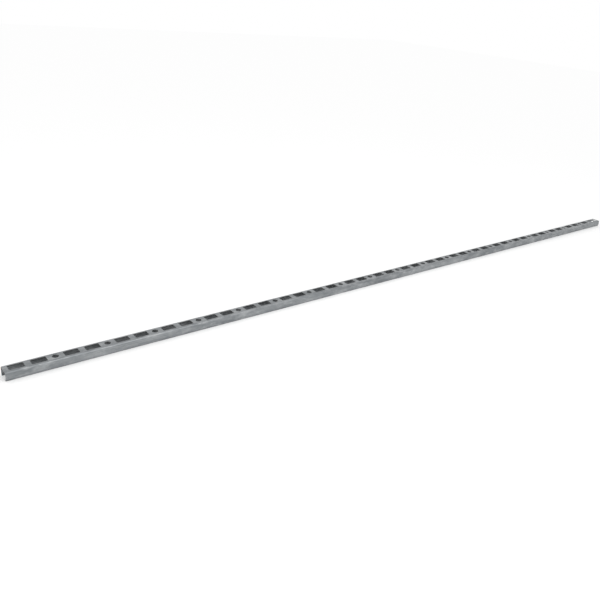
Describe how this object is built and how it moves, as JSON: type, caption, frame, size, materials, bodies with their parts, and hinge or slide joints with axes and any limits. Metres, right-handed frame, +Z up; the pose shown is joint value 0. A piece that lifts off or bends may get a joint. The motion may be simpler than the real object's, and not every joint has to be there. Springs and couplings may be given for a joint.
{
  "type": "strut channel",
  "caption": "Lipped C-section strut channel in galvanised steel, its web punched along the whole length with round holes and pairs of rectangular slots.",
  "frame": {"origin": "middle of the channel's footprint, in the plane that the lips rest on", "axes": "+X along the length, +Y across the web, +Z up from the open side to the punched web"},
  "size_m": [2, 0.028, 0.018],
  "materials": {
    "galvanised_steel": "galvanised, satin, faintly mottled"
  },
  "bodies": {
    "root": {"strut_channel": "galvanised_steel"}
  },
  "joints": []
}
